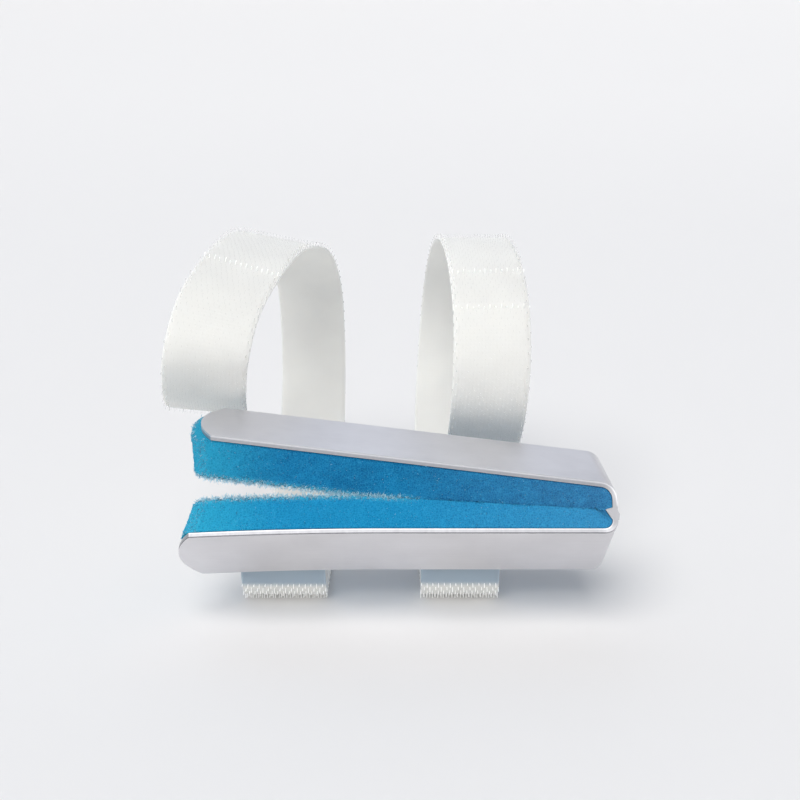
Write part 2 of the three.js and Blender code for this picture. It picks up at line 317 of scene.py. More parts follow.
# %% [markdown]
# ## Solids from rows
#
# A bent sheet is two grids of points, one for each face, joined round the edge. This function returns the
# points and the faces of such a solid. The grids share their layout, so the edge is a plain strip of quads.


# %% Solid between two grids
def quads(grid, flip=False):
    corners = [grid[:-1, :-1], grid[:-1, 1:], grid[1:, 1:], grid[1:, :-1]]
    return np.stack([c.ravel() for c in (corners[::-1] if flip else corners)], -1)


def solid_between(outer, inner):
    """The last quads, one for each point of the edge, are the rim."""
    rows, columns = outer.shape[:2]
    index = np.arange(rows * columns).reshape(rows, columns)
    other = index + rows * columns
    rim = np.concatenate([index[0, :], index[1:, -1], index[-1, -2::-1], index[-2::-1, 0]])
    faces = np.concatenate([quads(index, True), quads(other), quads(np.stack([rim, rim + rows * columns]))])
    return np.concatenate([outer.reshape(-1, 3), inner.reshape(-1, 3)]), faces


# %% [markdown]
# ## Satin aluminium strip
#
# The strip is soft rolled aluminium, cut to width with shears and bent by hand over a former. Rolling
# leaves a fine grain along the strip that stretches each highlight, the sheared edges are bare and look
# brighter by a painted highlight line along them, and handling leaves small scratches. The grain of a rolled
# sheet is some 0.05 mm wide, far below a pixel, so it is drawn 0.25 mm wide.

# %% Aluminium
aluminium = new_material("satin rolled aluminium")
place = add(aluminium, "ShaderNodeTexCoord").outputs["Object"]
along = add(aluminium, "ShaderNodeMapping", [("Vector", place)], Scale=(60, 4000, 4000))
grain = add(aluminium, "ShaderNodeTexNoise", [("Vector", along.outputs[0])], Scale=1, Detail=3, Roughness=0.6)
handled = add(aluminium, "ShaderNodeTexNoise", [("Vector", place)], Scale=70, Detail=4, Roughness=0.55)
tone = add(aluminium, "ShaderNodeValToRGB", [("Fac", handled.outputs["Fac"])])
tone.color_ramp.elements[0].position = 0.3
tone.color_ramp.elements[0].color = linear("#dbdadd")
tone.color_ramp.elements[1].position = 0.75
tone.color_ramp.elements[1].color = linear("#e6e5e8")
gloss = add(
    aluminium,
    "ShaderNodeMapRange",
    [("Value", grain.outputs["Fac"])],
    From_Min=0.3,
    From_Max=0.7,
    To_Min=0.42,
    To_Max=0.54,
)
scuffs = add(
    aluminium, "ShaderNodeMapping", [("Vector", place)], Rotation=(0.2, 0.1, 0.5), Scale=(120, 1500, 1500)
)
scuff = add(aluminium, "ShaderNodeTexNoise", [("Vector", scuffs.outputs[0])], Scale=1, Detail=2)
scratch = add(
    aluminium,
    "ShaderNodeMapRange",
    [("Value", scuff.outputs["Fac"])],
    From_Min=0.72,
    From_Max=0.78,
    To_Max=0.6,
)
relief = add(
    aluminium,
    "ShaderNodeMath",
    [(0, grain.outputs["Fac"]), (1, scratch.outputs[0])],
    operation="SUBTRACT",
)
bump = add(aluminium, "ShaderNodeBump", [("Height", relief.outputs[0])], Strength=0.12, Distance=0.00004)
metal_shader = add(
    aluminium,
    "ShaderNodeBsdfPrincipled",
    [("Base Color", tone.outputs[0]), ("Roughness", gloss.outputs[0]), ("Normal", bump.outputs[0])],
    Metallic=1,
)
add(aluminium, "ShaderNodeOutputMaterial", [("Surface", metal_shader.outputs[0])])
print("material:", aluminium.name)

# %% [markdown]
# Shears leave the edge of the sheet bare: a burnished band where the blade rubbed, and fine lines across
# it. The band is a little paler than the rolled faces. The mesh carries a value across the sheet, which
# places a painted highlight, a bright line where the blade went in, and painted shade, a thin dark line at
# the burr.

# %% Sheared edge
sheared = new_material("bare sheared aluminium edge")
place = add(sheared, "ShaderNodeTexCoord").outputs["Object"]
torn = add(sheared, "ShaderNodeMapping", [("Vector", place)], Scale=(2500, 500, 500))
lines = add(sheared, "ShaderNodeTexNoise", [("Vector", torn.outputs[0])], Scale=1, Detail=3)
polish = add(sheared, "ShaderNodeMapRange", [("Value", lines.outputs["Fac"])], To_Min=0.5, To_Max=0.7)
across_sheet = add(sheared, "ShaderNodeAttribute", attribute_name="across_sheet")
bright = add(sheared, "ShaderNodeValToRGB", [("Fac", across_sheet.outputs["Fac"])])
# Painted highlight: the pale stop at 0.12 is a bright line. Painted shade: the dark stops from 0.84 on are a
# thin dark line.
for position, code in ((0.12, "#e6e6e8"), (0.3, "#b9b9bc"), (0.7, "#bebec1"), (0.84, "#77777b")):
    stop = bright.color_ramp.elements.new(position)
    stop.color = linear(code)
bright.color_ramp.elements[0].color = linear("#c4c4c6")
bright.color_ramp.elements[-1].color = linear("#68686c")
bump = add(sheared, "ShaderNodeBump", [("Height", lines.outputs["Fac"])], Strength=0.2, Distance=0.00003)
edge_shader = add(
    sheared,
    "ShaderNodeBsdfPrincipled",
    [("Base Color", bright.outputs[0]), ("Roughness", polish.outputs[0]), ("Normal", bump.outputs[0])],
    Metallic=1,
)
add(sheared, "ShaderNodeOutputMaterial", [("Surface", edge_shader.outputs[0])])
print("material:", sheared.name)


# %% Metal strip
METAL_STEPS = (44, 14, 34)  # along each arm, round each bend and up the end wall
FOLD_COLUMNS = (METAL_STEPS[0], METAL_STEPS[0] + METAL_STEPS[1] + METAL_STEPS[2])


def metal_grid(depth, pleat):
    rows = []
    for a in width_stations(0.9 * MM, 14):
        ends = (LOWER_END + end_inset(a), UPPER_END + end_inset(a))
        rows.append(strip_row(a, depth, pleat, ends, *METAL_STEPS))
    return placed(rows)


outer, inner = metal_grid(0, PLEAT_OUTSIDE), metal_grid(STRIP_THICKNESS, PLEAT_INSIDE)
points, faces = solid_between(outer, inner)
metal = new_piece("bent_strip", points, faces, aluminium)
metal.data.materials.append(sheared)
rim = 2 * (outer.shape[0] + outer.shape[1]) - 4
metal.data.polygons.foreach_set("material_index", np.where(np.arange(len(faces)) < len(faces) - rim, 0, 1))
# On the lower arm the value runs from 0 inside to 1 outside. On the upper arm it runs from 0.6 to 0, so the
# painted highlight line is outside and the painted dark line is left out.
column = np.arange(outer.shape[1])
sheet_outside = np.interp(column, FOLD_COLUMNS, [1, 0])
sheet_inside = np.interp(column, FOLD_COLUMNS, [0, 0.6])
across_sheet = np.concatenate([np.tile(sheet_outside, len(outer)), np.tile(sheet_inside, len(outer))])
metal.data.attributes.new("across_sheet", "FLOAT", "POINT").data.foreach_set("value", across_sheet)
bevel = metal.modifiers.new("sheared edge", "BEVEL")
bevel.width = 0.14 * MM
bevel.segments = 2
bevel.limit_method = "ANGLE"
bevel.angle_limit = math.radians(50)
bevel.harden_normals = True
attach(metal, "root")
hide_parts("metal_strip")
print("metal strip:", len(faces), "faces")

# %% [markdown]
# ## Foam liner
#
# The liner is open-cell polyurethane foam, sliced from a block and glued to the metal, so its cut faces are
# full of broken cells about 0.4 mm wide. It follows the metal outside. Inside, the two layers press on each
# other towards the fold and leave only a crease. It is built as a solid between two grids, with extra rows
# on its side faces so that the cut edges can be rounded and roughened.

# %% Sizes of the foam
FOAM_DEPTH = STRIP_THICKNESS + 0.1 * MM
UPPER_FOAM = 7.3 * MM
LOWER_FOAM = 6.5 * MM
MEETING_SHARE = 0.47
FOAM_SLIT = -0.1 * MM  # the layers press into each other
UPPER_FOAM_END = UPPER_END - 1.5 * MM
LOWER_FOAM_END = LOWER_END + 0.9 * MM
FOAM_SKEW = 0.7 * MM  # the front of each end is cut this much shorter
UPPER_END_SLANT = 0.4 * MM  # and the inside of each end this much shorter than the side at the metal
LOWER_END_SLANT = 1.8 * MM
FOAM_CORNER = 2.2 * MM  # rounding of the ends at the front; at the back they follow the metal
CREASE_DEPTH = 2.4 * MM
WALL_PRESSED = 0.5
FOAM_EDGE_RADIUS = 0.35 * MM  # on the open edges; none where the layers press on each other
FOAM_STEPS = (150, 10, 26)  # along each arm, round each bend and up the end wall
FOAM_LAYERS = 18  # rows on a side face, from the metal to the inside

# Straps, as the foam has to leave room for them: where each crosses the lower arm, and how wide it is.
STRAP_THICKNESS = 1.5 * MM
STRAP_GRIP = 14 * MM
STRAP_CLEARANCE = 0.3 * MM
STRAP_X = {"left": FOLD_X - 0.773 * SPLINT_LENGTH, "right": FOLD_X - 0.342 * SPLINT_LENGTH}
STRAP_WIDTH = {"left": 17 * MM, "right": 15.8 * MM}


# %% Foam rows
def smooth(value):
    value = np.clip(value, 0, 1)
    return value * value * (3 - 2 * value)


def foam_reach(x, across, depth, arm, foam):
    """Foam below a point of an arm: its thickness, or less where it meets the other layer."""
    low, high = arm_face(x, 0, -1), arm_face(x, 0, 1)
    meeting = low + (high - low) * MEETING_SHARE
    to_meeting = np.abs(arm_face(x, across, arm) - meeting) - FOAM_SLIT / 2
    return np.minimum(foam, to_meeting / COS - depth)


def strap_room(x, across):
    """How much deeper the foam starts where a strap lies between it and the metal."""
    room = 0 * x
    for side in STRAP_X:
        from_edge = STRAP_WIDTH[side] / 2 + 0.6 * MM - np.abs(x - STRAP_X[side])
        room = np.maximum(room, smooth(from_edge / (0.9 * MM)))
    return room * smooth((across - STRIP_WIDTH + STRAP_GRIP + 0.6 * MM) / (1 * MM)) * 1.85 * MM


def foam_inset(across):
    if across > STRIP_WIDTH / 2:
        return end_inset(across)
    corner = FOAM_CORNER - math.sqrt(FOAM_CORNER**2 - (FOAM_CORNER - min(across, FOAM_CORNER)) ** 2)
    return corner + FOAM_SKEW * (1 - smooth(across / (8 * MM)))


def foam_rows(across):
    arm_steps, bend_steps, wall_steps = FOAM_STEPS
    inset = foam_inset(across)
    ends = (LOWER_FOAM_END + inset, UPPER_FOAM_END + inset)
    outer = strip_row(across, FOAM_DEPTH, PLEAT_INSIDE, ends, *FOAM_STEPS)
    pressed = 1 - foam_reach(FOLD_X, across, FOAM_DEPTH, -1, LOWER_FOAM) / LOWER_FOAM
    wall_foam = LOWER_FOAM + (CREASE_DEPTH - LOWER_FOAM) * min(1, pressed / WALL_PRESSED)
    crotch = FOLD_X - FOAM_DEPTH - wall_foam
    k = np.linspace(0, 1, arm_steps + 1)
    inner = []
    cut_ends = (ends[0] + LOWER_END_SLANT, ends[1] + UPPER_END_SLANT)
    for arm, foam, end in ((-1, LOWER_FOAM, cut_ends[0]), (1, UPPER_FOAM, cut_ends[1])):
        x = end + (crotch - end) * k
        depth = FOAM_DEPTH + foam_reach(x, across, FOAM_DEPTH, arm, foam)
        inner.append(under_face(x, across, depth, arm))
    low, high = inner
    fold = np.linspace(0, 1, len(outer) - 2 * arm_steps)[:, None]
    lower_x = outer[:arm_steps, 0]
    outer[:arm_steps] = under_face(lower_x, across, FOAM_DEPTH + strap_room(lower_x, across), -1)
    return outer, np.concatenate([low[:-1], low[-1] + (high[-1] - low[-1]) * fold, high[-2::-1]])


# %% Foam block
stations = width_stations(0.42 * MM, 15)
grids = np.array([foam_rows(a) for a in stations])
foam_outer, foam_inner = grids[:, 0], grids[:, 1]
share = np.linspace(0, 1, FOAM_LAYERS + 1)
block = foam_outer[..., None, :] + (foam_inner - foam_outer)[..., None, :] * share[:, None]

# Cut edges are rounded: a corner of the block is pulled in until it lies on a ball of the edge's radius.
to_metal = foam_outer - foam_inner
foam_thickness = np.linalg.norm(to_metal, axis=-1)
to_metal = to_metal / foam_thickness[..., None]
side = np.where(np.arange(len(stations)) < len(stations) / 2, 1.0, -1.0)
arm_sign = np.interp(np.arange(block.shape[1]), [FOAM_STEPS[0], block.shape[1] - FOAM_STEPS[0]], [-1, 1])
inwards = np.stack(np.broadcast_arrays(0.0, COS, arm_sign * SIN), -1) * side[:, None, None]
from_edge = np.minimum(stations, STRIP_WIDTH - stations)[:, None, None]
from_inside = foam_thickness[..., None] * (1 - share)
end_x = np.where(arm_sign < 0, foam_inner[:, :1, 0], foam_inner[:, -1:, 0])
open_end = foam_inner[..., 0] - end_x
full = np.where(arm_sign < 0, LOWER_FOAM, UPPER_FOAM) - FOAM_DEPTH / 4
over_strap = np.where(arm_sign < 0, strap_room(foam_outer[..., 0], stations[:, None]), 0)
apart = smooth((foam_thickness + over_strap - full + 0.5 * MM) / (0.5 * MM))[..., None]
radius = FOAM_EDGE_RADIUS * (0.1 + 0.9 * apart)
pulls = [np.maximum(0, radius - d) for d in (from_edge, from_inside, open_end[..., None])]
pulls = np.broadcast_arrays(*pulls)
excess = np.maximum(1, np.sqrt(sum(p * p for p in pulls)) / radius)
moves = [(p - p / excess)[..., None] for p in pulls]
block = block + moves[0] * inwards[:, :, None] + moves[1] * to_metal[:, :, None]
block = block + moves[2] * np.array([1.0, 0, 0])

# How frayed each point is: 1 on the free edges, 0 from 1.1 mm away from them.
sides = (from_edge, from_inside, open_end[..., None], foam_thickness[..., None] * share)
near_side, near_inside, near_end, near_metal = (smooth(1 - d / (1.1 * MM)) for d in sides)
near_corner = np.maximum(near_side * 0.3, near_inside * 0.8)
frayed = np.maximum(near_side * near_inside * apart, near_end * near_corner)
frayed = np.maximum(frayed, near_end * near_metal * 0.6) + 0 * from_inside
lower_layer = (1 - arm_sign[None, :, None]) / 2 + 0 * from_inside
print("foam block:", block.shape[:3], "points before only its skin is kept")


# %% Foam skin
def skin(block):
    """Points and quads of the outside of a block of points[row][column][layer]."""
    rows, columns, layers = block.shape[:3]
    index = np.arange(rows * columns * layers).reshape(rows, columns, layers)
    faces = np.concatenate(
        [
            quads(index[:, :, 0], True),
            quads(index[:, :, -1]),
            quads(index[0]),
            quads(index[-1], True),
            quads(index[:, 0], True),
            quads(index[:, -1]),
        ]
    )
    used, faces = np.unique(faces, return_inverse=True)
    return block.reshape(-1, 3)[used], faces.reshape(-1, 4), used


foam_points, foam_faces, kept = skin(block)
layer = kept % block.shape[2]
frayed, lower_layer = frayed.ravel()[kept], lower_layer.ravel()[kept]
foam_points = placed(foam_points)
print("foam skin:", len(foam_points), "points")

# %% [markdown]
# The cut surface of foam is never flat. Each point is moved along its normal by a smooth noise for the
# lumps and by a seeded random amount for the broken cells, except where the foam is glued to the metal.

# %% Rough foam
def vertex_normals(points, faces):
    a, b, c, d = (points[faces[:, k]] for k in range(4))
    normals = np.zeros_like(points)
    for k in range(4):
        np.add.at(normals, faces[:, k], np.cross(c - a, d - b))
    return normals / np.maximum(np.linalg.norm(normals, axis=1), 1e-12)[:, None]


random = np.random.default_rng(7)
waves = random.normal(0, 1, (40, 3)) / (0.35 * MM)
phases = random.uniform(0, 2 * math.pi, 40)
lumps = np.sin(foam_points @ waves.T + phases).sum(1) / math.sqrt(20)
free = np.clip(layer / 2, 0, 1)
normals = vertex_normals(foam_points, foam_faces)
broken = random.uniform(-0.1, 0.08, len(foam_points)) * (1 + 3.2 * frayed)
rough = free * (0.05 * lumps + broken) * MM
foam_points = foam_points + normals * rough[:, None]

# %% [markdown]
# ## Open-cell polyurethane foam
#
# Foam scatters light inside its open cells, so it looks soft. Each cell gets painted shade in the pit where
# it opens and painted highlights on the pale rims where its struts catch the light. The cells of this grade
# are about 0.4 mm, which is two pixels here.
# A Voronoi pattern has the same shape as a sliced foam: its cell borders are the struts. At the open end
# light comes in from all sides, so the foam is paler and greener there. Towards the fold it is rubbed a
# little grey.

# %% Foam material
FOAM_CELL = 0.42 * MM
foam = new_material("open-cell polyurethane foam")
place = add(foam, "ShaderNodeTexCoord").outputs["Object"]
wobble = add(foam, "ShaderNodeTexNoise", [("Vector", place)], Scale=1 / (0.9 * MM), Detail=2)
uneven = add(
    foam,
    "ShaderNodeMixRGB",
    [("Color1", place), ("Color2", wobble.outputs["Color"])],
    blend_type="LINEAR_LIGHT",
    Fac=0.00025,
)
cells = add(
    foam,
    "ShaderNodeTexVoronoi",
    [("Vector", uneven.outputs[0])],
    feature="DISTANCE_TO_EDGE",
    Scale=1 / FOAM_CELL,
)
shade = add(foam, "ShaderNodeTexNoise", [("Vector", place)], Scale=1 / (5 * MM), Detail=3)
body = add(foam, "ShaderNodeValToRGB", [("Fac", shade.outputs["Fac"])])
body.color_ramp.elements[0].position = 0.3
body.color_ramp.elements[0].color = linear("#0a6696")
body.color_ramp.elements[1].position = 0.72
body.color_ramp.elements[1].color = linear("#1178a8")
# Painted light: the lower layer is painted a lighter blue than the upper one, which is in more shade.
lower = add(foam, "ShaderNodeAttribute", attribute_name="lower_layer")
lower_layer_light = add(foam, "ShaderNodeMath", [(0, lower.outputs["Fac"])], operation="MULTIPLY")
lower_layer_light.inputs[1].default_value = 0.75
layers = add(
    foam,
    "ShaderNodeMixRGB",
    [("Fac", lower_layer_light.outputs[0]), ("Color1", body.outputs[0])],
    Color2=linear("#1289b8"),
)
axes = add(foam, "ShaderNodeSeparateXYZ", [("Vector", place)])
thin = add(
    foam,
    "ShaderNodeMapRange",
    [("Value", axes.outputs["X"])],
    interpolation_type="SMOOTHSTEP",
    From_Min=-0.038,
    From_Max=-0.014,
    To_Min=0.75,
    To_Max=0,
)
lit_end = add(
    foam,
    "ShaderNodeMixRGB",
    [("Fac", thin.outputs[0]), ("Color1", layers.outputs[0])],
    Color2=linear("#2ca6c4"),
)
worn = add(
    foam,
    "ShaderNodeMapRange",
    [("Value", axes.outputs["X"])],
    From_Min=0.005,
    From_Max=0.042,
    To_Min=0,
    To_Max=1,
)
greyed = add(
    foam,
    "ShaderNodeMixRGB",
    [("Fac", worn.outputs[0]), ("Color1", lit_end.outputs[0])],
    blend_type="ADD",
    Color2=(0.028, 0.006, 0, 1),
)
# Painted shade in the pit of each cell, and painted highlights on the rims of its struts.
pits = add(foam, "ShaderNodeMapRange", [("Value", cells.outputs["Distance"])], From_Min=0.05, From_Max=0.5)
pit_shade = add(
    foam,
    "ShaderNodeMixRGB",
    [("Fac", pits.outputs[0]), ("Color1", greyed.outputs[0])],
    blend_type="MULTIPLY",
    Color2=linear("#c9d6de"),
)
rim_highlight = add(
    foam,
    "ShaderNodeMapRange",
    [("Value", cells.outputs["Distance"])],
    From_Min=0.0,
    From_Max=0.09,
    To_Min=0.28,
    To_Max=0,
)
foam_colour = add(
    foam,
    "ShaderNodeMixRGB",
    [("Fac", rim_highlight.outputs[0]), ("Color1", pit_shade.outputs[0])],
    Color2=linear("#4fb4dc"),
)
fray = add(foam, "ShaderNodeAttribute", attribute_name="frayed")
fray_share = add(foam, "ShaderNodeMath", [(0, fray.outputs["Fac"])], operation="MULTIPLY")
fray_share.inputs[1].default_value = 0.55
pale_edge = add(
    foam,
    "ShaderNodeMixRGB",
    [("Fac", fray_share.outputs[0]), ("Color1", foam_colour.outputs[0])],
    Color2=linear("#52bcd6"),
)
bump = add(
    foam,
    "ShaderNodeBump",
    [("Height", cells.outputs["Distance"])],
    invert=True,
    Strength=0.55,
    Distance=0.0001,
)
foam_shader = add(
    foam,
    "ShaderNodeBsdfPrincipled",
    [("Base Color", pale_edge.outputs[0]), ("Normal", bump.outputs[0])],
    Roughness=0.9,
    Specular_IOR_Level=0.1,
    Subsurface_Weight=0.25,
    Subsurface_Radius=(0.3, 0.8, 1.0),
    Subsurface_Scale=0.0015,
)
add(foam, "ShaderNodeOutputMaterial", [("Surface", foam_shader.outputs[0])])

liner = new_piece("foam_liner_block", foam_points, foam_faces, foam)
liner.data.attributes.new("frayed", "FLOAT", "POINT").data.foreach_set("value", frayed)
liner.data.attributes.new("lower_layer", "FLOAT", "POINT").data.foreach_set("value", lower_layer)
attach(liner, "root")
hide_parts("foam_liner")
print("foam:", len(foam_faces), "faces")


# %% [markdown]
# ## Filaments
#
# Two details of this object are made of short threads: the broken struts that make the foam's outline
# fuzzy, and the hooks of the tape. Both are thin tubes along given paths, so one function makes them all at
# once.

# %% Tubes
def unit(vectors):
    return vectors / np.maximum(np.linalg.norm(vectors, axis=-1, keepdims=True), 1e-12)


def filaments(paths, across, radius, sides):
    """Tubes along paths[tube][point]. across gives each tube a direction that its section starts from."""
    tubes, steps = paths.shape[:2]
    tangent = unit(np.gradient(paths, axis=1))
    first = across[:, None] - tangent * (across[:, None] * tangent).sum(-1, keepdims=True)
    first = unit(first)
    second = np.cross(tangent, first)
    turn = 2 * math.pi * np.arange(sides) / sides
    ring = first[:, :, None] * np.cos(turn)[:, None] + second[:, :, None] * np.sin(turn)[:, None]
    points = paths[:, :, None] + ring * np.asarray(radius).reshape(1, -1, 1, 1)
    index = np.arange(tubes * steps * sides).reshape(tubes, steps, sides)
    after = np.roll(index, -1, 2)
    faces = np.stack([index[:, :-1], after[:, :-1], after[:, 1:], index[:, 1:]], -1)
    return points.reshape(-1, 3), faces.reshape(-1, 4)


# %% Broken struts of the foam
STRUTS = 16000
STRUT_RADIUS = np.array([0.07, 0.06, 0.035]) * MM
areas = np.linalg.norm(
    np.cross(
        foam_points[foam_faces[:, 2]] - foam_points[foam_faces[:, 0]],
        foam_points[foam_faces[:, 3]] - foam_points[foam_faces[:, 1]],
    ),
    axis=1,
)
areas = areas * (0.25 + 9 * frayed[foam_faces].mean(1))
areas[(layer[foam_faces] < 1).all(1)] = 0
picked = random.choice(len(foam_faces), STRUTS, p=areas / areas.sum())
corner = foam_faces[picked]
weight = random.dirichlet(np.ones(4), STRUTS)[..., None]
start = (foam_points[corner] * weight).sum(1)
outwards = unit((normals[corner] * weight).sum(1))
lean = unit(outwards + random.normal(0, 0.55, (STRUTS, 3)))
bend = unit(lean + random.normal(0, 0.6, (STRUTS, 3)))
strut_fray = (frayed[corner] * weight[..., 0]).sum(1)
length = random.uniform(0.15, 0.4, (STRUTS, 1)) * (1 + 1.6 * strut_fray[:, None]) * MM
rooted = start - outwards * 0.1 * MM
knee = start + lean * length * 0.6
tip = start + (lean + bend) * length * 0.6
paths = np.stack([rooted, knee, tip], 1)
points, faces = filaments(paths, random.normal(0, 1, (STRUTS, 3)), STRUT_RADIUS, 3)

# Thin struts let light through, so a weak glow keeps the ones in shade from going grey.
strut = new_material("broken polyurethane foam struts")
place = add(strut, "ShaderNodeTexCoord").outputs["Object"]
mottle = add(strut, "ShaderNodeTexNoise", [("Vector", place)], Scale=1 / (0.45 * MM), Detail=1)
fray = add(strut, "ShaderNodeAttribute", attribute_name="frayed")
half = add(strut, "ShaderNodeMath", [(0, fray.outputs["Fac"])], operation="MULTIPLY")
half.inputs[1].default_value = 0.34
shift = add(strut, "ShaderNodeMath", [(0, mottle.outputs["Fac"]), (1, half.outputs[0])], operation="ADD")
tint = add(strut, "ShaderNodeValToRGB", [("Fac", shift.outputs[0])])
tint.color_ramp.elements[0].position = 0.45
tint.color_ramp.elements[0].color = linear("#1e8cba")
tint.color_ramp.elements[1].position = 1
tint.color_ramp.elements[1].color = linear("#c4ecf7")
strut_shader = add(
    strut,
    "ShaderNodeBsdfPrincipled",
    [("Base Color", tint.outputs[0])],
    Roughness=0.5,
    Specular_IOR_Level=0.5,
    Subsurface_Weight=0.5,
    Subsurface_Radius=(0.6, 0.9, 1.0),
    Subsurface_Scale=0.0008,
    Emission_Color=linear("#8fd3ea"),
    Emission_Strength=0.07,
)
add(strut, "ShaderNodeOutputMaterial", [("Surface", strut_shader.outputs[0])])
struts = new_piece("foam_cell_struts", points, faces, strut)
strut_values = np.repeat(strut_fray, len(points) // STRUTS)
struts.data.attributes.new("frayed", "FLOAT", "POINT").data.foreach_set("value", strut_values)
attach(struts, "root")
print("struts:", len(faces), "faces")

# %% [markdown]
# ## Straps
#
# Each strap is a length of nylon tape with hooks on its outside. It is held between the foam and the metal
# of the lower arm, leaves over the back edge, runs back along the table and curls up and over by its own
# stiffness. The rows repeat the path of the CAD straps: `back` and `up` are shares of the loop's depth and
# height, `aside` is in strap widths and `twist` in degrees.

# %% Strap paths
LOOP_DEPTH = 91 * MM
LOOP_HEIGHT = 69.4 * MM
STRAP_EXIT = 0.6 * MM
STRAP_CORNER = 3 * MM
STRAP_TRIM = {"left": 22 * MM, "right": 0}  # cut off the free end, which would show past the curl
TABLE_LIFT = 0.334 * MM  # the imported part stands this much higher, with its lowest point at z = 0
LOOPS = {
    "left": [
        (0.022, 0.055, 0, 0),
        (0.055, 0.008, 0, 0),
        (0.11, 0, 0, 0),
        (0.3, 0, 0, 0),
        (0.52, 0, 0, 0),
        (0.75, 0.07, 0.01, 0),
        (0.92, 0.25, 0.02, 0),
        (0.998, 0.5, 0.02, 0),
        (0.955, 0.757, -0.01, -4),
        (0.8, 0.93, -0.12, -9),
        (0.57, 0.995, -0.34, -13),
        (0.33, 0.968, -0.53, -12),
        (0.15, 0.858, -0.77, -8),
        (0.09, 0.73, -0.885, -5),
        (0.14, 0.6, -0.965, -1),
        (0.25, 0.512, -1.03, 5),
        (0.37, 0.485, -1.12, 8),
        (0.48, 0.525, -1.1, -4),
    ],
    "right": [
        (0.022, 0.055, 0, 0),
        (0.055, 0.008, 0, 0),
        (0.11, 0, 0, 0),
        (0.3, 0, -0.01, 0),
        (0.52, 0, -0.02, 0),
        (0.75, 0.07, -0.03, 0),
        (0.92, 0.25, -0.02, 0),
        (0.998, 0.5, 0.04, 0),
        (0.955, 0.757, 0.12, 0),
        (0.8, 0.93, 0.21, 0),
        (0.57, 0.998, 0.3, 0),
        (0.34, 0.95, 0.38, 0),
        (0.2, 0.83, 0.42, 0),
        (0.155, 0.675, 0.42, 0),
        (0.185, 0.515, 0.39, 0),
        (0.29, 0.378, 0.36, 0),
        (0.42, 0.32, 0.33, 0),
    ],
}


def through(knots, steps):
    """A smooth curve through unevenly spaced knots, with a number of steps from each knot to the next."""
    knots = np.asarray(knots)
    knots = np.concatenate([[2 * knots[0] - knots[1]], knots, [2 * knots[-1] - knots[-2]]])
    gaps = np.sqrt(np.linalg.norm(np.diff(knots[:, :3], axis=0), axis=1))[:, None]
    t = np.linspace(0, 1, steps, endpoint=False)[:, None]
    spans = []
    for k in range(1, len(knots) - 2):
        before, start, end, after = knots[k - 1 : k + 3]
        g0, g1, g2 = gaps[k - 1 : k + 2]
        leave = g1 * ((start - before) / g0 - (end - before) / (g0 + g1)) + end - start
        arrive = g1 * ((after - end) / g2 - (after - start) / (g1 + g2)) + end - start
        square = 3 * (end - start) - 2 * leave - arrive
        cube = 2 * (start - end) + leave + arrive
        spans.append(start + leave * t + square * t**2 + cube * t**3)
    return np.concatenate([*spans, [knots[-2]]])


def strap_frame(side, pitch):
    """Even places along a strap, with the directions along it, across it and out of its hook side."""
    width = STRAP_WIDTH[side]
    held_depth = STRIP_THICKNESS + STRAP_CLEARANCE + STRAP_THICKNESS / 2
    held = [
        placed(under_face(STRAP_X[side], a, held_depth, -1))
        for a in (STRIP_WIDTH - STRAP_GRIP, STRIP_WIDTH - STRAP_GRIP / 2, STRIP_WIDTH + STRAP_EXIT)
    ]
    exit_place = held[-1]
    knots = [(*p, 0) for p in held]
    for back, up, aside, twist in LOOPS[side]:
        x, y = exit_place[0] + aside * width, exit_place[1] + back * LOOP_DEPTH
        z = TABLE_LIFT + STRAP_THICKNESS / 2 + up * (LOOP_HEIGHT - STRAP_THICKNESS)
        knots.append((x, y, z, math.radians(twist)))
    curve = through(knots, 80)
    lengths = np.concatenate([[0], np.cumsum(np.linalg.norm(np.diff(curve[:, :3], axis=0), axis=1))])
    end = lengths[-1] - STRAP_TRIM[side]
    at = np.linspace(0, end, round(end / pitch) + 1)
    curve = np.stack([np.interp(at, lengths, curve[:, k]) for k in range(4)], -1)
    path, twist = curve[:, :3], curve[:, 3:]
    along = unit(np.gradient(path, axis=0))
    level = unit(np.array([1.0, 0, 0]) - along * along[:, :1])
    across = level * np.cos(twist) + np.cross(along, level) * np.sin(twist)
    return path, along, across, -np.cross(across, along), at


def strap_width(side, at):
    """Width along a strap, with the corners of its free end rounded."""
    from_corner = np.maximum(0, STRAP_CORNER - (at[-1] - at))
    return STRAP_WIDTH[side] - 2 * (STRAP_CORNER - np.sqrt(STRAP_CORNER**2 - from_corner**2))


for side in STRAP_WIDTH:
    print(side, "strap:", round(strap_frame(side, 1 * MM)[4][-1] / MM), "mm long")

# %% [markdown]
# ## Woven nylon tape
#
# The backing of the tape is a close weave of fine white nylon with a smooth back and a heat-set edge. Its
# threads are about 0.25 mm, just over a pixel, so the weave shows only as a faint grain. Light passes
# through it, which subsurface scattering and a very weak glow give. A blue-grey tint is painted on where it
# leaves the foam, a painted reflection of the foam's blue light, and again on the right strap where its free
# end hangs close to the splint.

